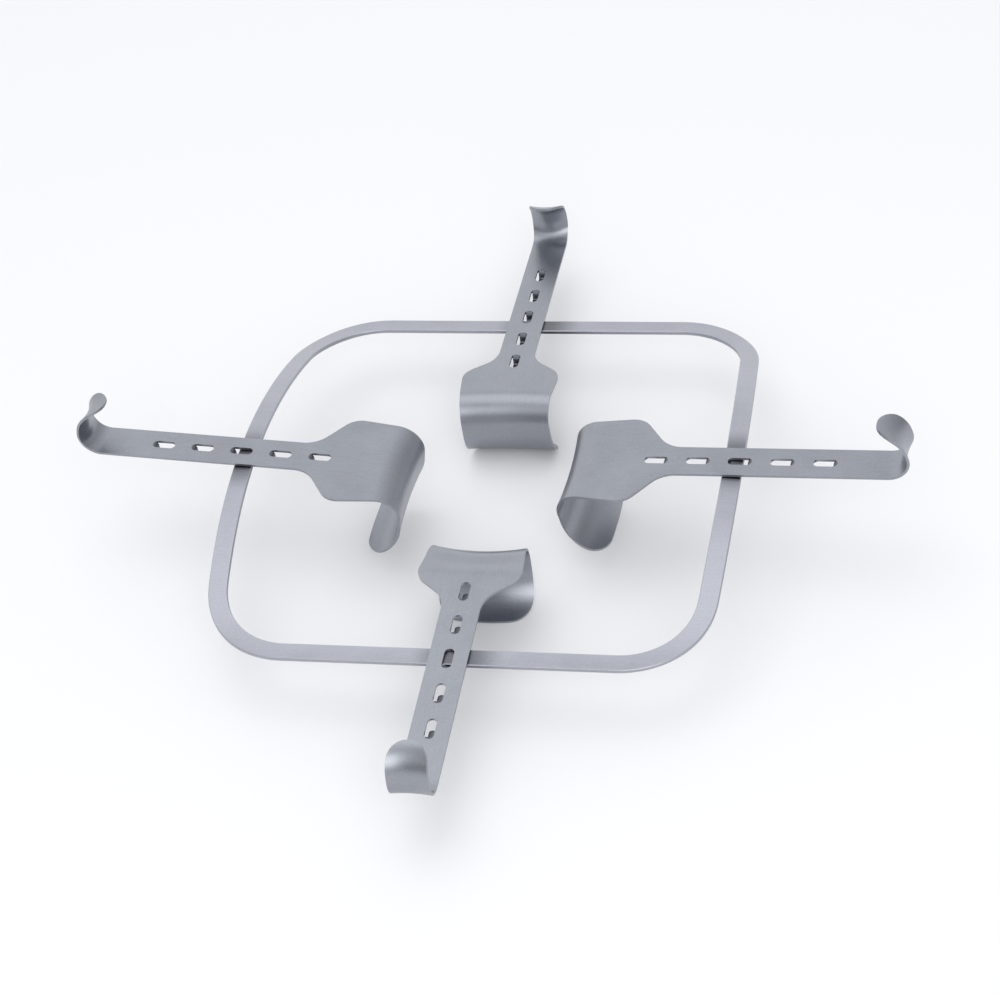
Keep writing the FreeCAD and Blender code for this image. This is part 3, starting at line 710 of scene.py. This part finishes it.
def makeBlades():
    lugSide = lugSheet()
    shadedLugSteel = satinStainless("lugShadedStainless", lugSizes["colour"], 0.0)    # darker steel: painted shade of the lugs, which sit in the slots' shade
    for body, seat in blades.items():
        placement = seatPlacement(*[seat[name] for name in ("side", "reach", "along", "swing", "tip")])
        turn = seat["side"] + seat["swing"]     # the strokes run along the blade
        finish = [satinStainless(body + "SatinStainless", bladeSizes["colour"], turn),
                  polishedStainless(body + "PolishedStainless", bladeSizes["rimColour"])]
        sheet = bladeSheet(saddleSizes[seat["saddle"]])
        blade = thicken(body + "Sheet", sheet, bladeSizes["thickness"], bladeSizes["edge"], finish)
        place(blade, body, placement)
        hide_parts(body)
        lug = thicken(body + "Lug", lugSide, bladeSizes["thickness"], lugSizes["edge"], [shadedLugSteel, shadedLugSteel])
        row = lugRow(body + "Lugs", lug, shadedLugSteel)
        bpy.data.objects.remove(lug)
        place(row, body, placement)
        print("blade", body, len(blade.data.polygons), "faces, lugs", len(row.data.polygons))


floorSizes = {
    "reach": 6000.0,
    "tooth": 1.43,      # tooth of the paper
    "lift": 0.1,
    "colour": "#fbfbfc",
}


def mattPaper():
    # white uncoated background paper: matt, with the faintest tooth
    material = bpy.data.materials.new("mattPaper")
    material.use_nodes = True
    tree = material.node_tree
    shader = tree.nodes["Principled BSDF"]
    shader.inputs["Base Color"].default_value = linear(floorSizes["colour"])
    shader.inputs["Roughness"].default_value = 0.9
    shader.inputs["Specular IOR Level"].default_value = 0.1
    spot = addNode(tree, "ShaderNodeTexCoord").outputs["Object"]
    tooth = addNode(tree, "ShaderNodeTexNoise", {}, {
        "Vector": spot, "Scale": perMetre(floorSizes["tooth"]), "Detail": 2.0})
    bump = addNode(tree, "ShaderNodeBump", {}, {
        "Height": tooth.outputs["Fac"], "Strength": 0.05, "Distance": floorSizes["lift"] * metre})
    tree.links.new(bump.outputs["Normal"], shader.inputs["Normal"])
    return material


def makeFloor():
    mesh = bpy.data.meshes.new("floor")
    low = cadBox[0][2]
    reach = floorSizes["reach"] * metre
    corners = [(x * reach, y * reach, low) for x, y in ((-1, -1), (1, -1), (1, 1), (-1, 1))]
    mesh.from_pydata(corners, [], [(0, 1, 2, 3)])
    mesh.materials.append(mattPaper())
    floor = bpy.data.objects.new("floor", mesh)
    bpy.context.scene.collection.objects.link(floor)
    print("floor at", round(low, 4))


view = {
    "azimuth": 17.273,      # right of the near side
    "elevation": 41.305,
    "roll": -10.336,
    "lens": 90.32,
    "sensor": 36.0,
    "spot": (0.299164, -0.957066, 0.845268),    # metres
}


def makeCamera():
    azimuth, elevation, roll = (math.radians(view[name]) for name in ("azimuth", "elevation", "roll"))
    level = math.cos(elevation)
    back = Vector((math.sin(azimuth) * level, -math.cos(azimuth) * level, math.sin(elevation)))
    right = Vector((math.cos(azimuth), math.sin(azimuth), 0.0))
    up = back.cross(right)
    across = right * math.cos(roll) + up * math.sin(roll)
    above = up * math.cos(roll) - right * math.sin(roll)
    lens = bpy.data.cameras.new("camera")
    lens.sensor_width = view["sensor"]
    lens.lens = view["lens"]
    lens.clip_start = 0.05
    lens.clip_end = 20.0
    camera = bpy.data.objects.new("camera", lens)
    turn = Matrix((across, above, back)).transposed().to_4x4()
    camera.matrix_world = Matrix.Translation(view["spot"]) @ turn
    bpy.context.scene.collection.objects.link(camera)
    bpy.context.scene.camera = camera
    print("camera", view["lens"], "mm")


# place in metres, width in metres and power in watts
lamps = {
    "key": {"spot": (-0.4, 0.2, 1.9), "width": 1.4, "power": 5.0},
    "front": {"spot": (0.6, -1.75, 1.15), "width": 1.4, "power": 13.0},
}

# white cloth round the table: brightness from the front horizon over the top to the back one
tent = {
    "strength": 1.34,
    "sides": 0.42,          # brightness left at the open sides
    "front": (0.297, -0.955, 0.0),
    "right": (0.955, 0.297, 0.0),
    "tones": [
        (0.0, "#8a8d92"),
        (0.1, "#8e9196"),
        (0.25, "#ffffff"),
        (0.42, "#c8cacd"),
        (0.6, "#cdced1"),
        (0.78, "#e5e6e8"),
        (1.0, "#ffffff"),
    ],
}


def makeLight():
    world = bpy.data.worlds.new("studio")
    world.use_nodes = True
    bpy.context.scene.world = world
    bpy.context.scene.view_settings.view_transform = "Standard"
    tree = world.node_tree
    background = tree.nodes["Background"]
    background.inputs["Strength"].default_value = tent["strength"]
    heading = addNode(tree, "ShaderNodeTexCoord").outputs["Generated"]
    split = addNode(tree, "ShaderNodeSeparateXYZ", {}, {"Vector": heading})
    front = addNode(tree, "ShaderNodeVectorMath", {"operation": "DOT_PRODUCT"}, {
        0: heading, 1: tent["front"]})
    turn = addNode(tree, "ShaderNodeMath", {"operation": "ARCTAN2"}, {
        0: split.outputs["Z"], 1: front.outputs["Value"]})
    share = addNode(tree, "ShaderNodeMath", {"operation": "DIVIDE"}, {0: turn.outputs["Value"], 1: math.pi})
    ramp = addNode(tree, "ShaderNodeValToRGB", {}, {"Fac": share.outputs["Value"]})
    ramp.color_ramp.interpolation = "B_SPLINE"
    while len(ramp.color_ramp.elements) < len(tent["tones"]):
        ramp.color_ramp.elements.new(1.0)
    for element, (spot, colour) in zip(ramp.color_ramp.elements, tent["tones"]):
        element.position = spot
        element.color = linear(colour)
    side = addNode(tree, "ShaderNodeVectorMath", {"operation": "DOT_PRODUCT"}, {
        0: heading, 1: tent["right"]})
    square = addNode(tree, "ShaderNodeMath", {"operation": "POWER"}, {0: side.outputs["Value"], 1: 2.0})
    dim = addNode(tree, "ShaderNodeMapRange", {}, {
        "Value": square.outputs["Value"], "To Min": 1.0, "To Max": tent["sides"]})
    cloth = addNode(tree, "ShaderNodeVectorMath", {"operation": "SCALE"}, {
        "Vector": ramp.outputs["Color"], "Scale": dim.outputs["Result"]})
    tree.links.new(cloth.outputs["Vector"], background.inputs["Color"])
    for name, lamp in lamps.items():
        light = bpy.data.lights.new(name, "AREA")
        light.shape = "SQUARE"
        light.size = lamp["width"]
        light.energy = lamp["power"]
        obj = bpy.data.objects.new(name, light)
        obj.location = lamp["spot"]
        obj.rotation_euler = (-Vector(lamp["spot"])).to_track_quat("-Z", "Y").to_euler()
        bpy.context.scene.collection.objects.link(obj)
    print("light", len(lamps), "lamps")


makeRing()
makeBlades()
makeFloor()
makeCamera()
makeLight()
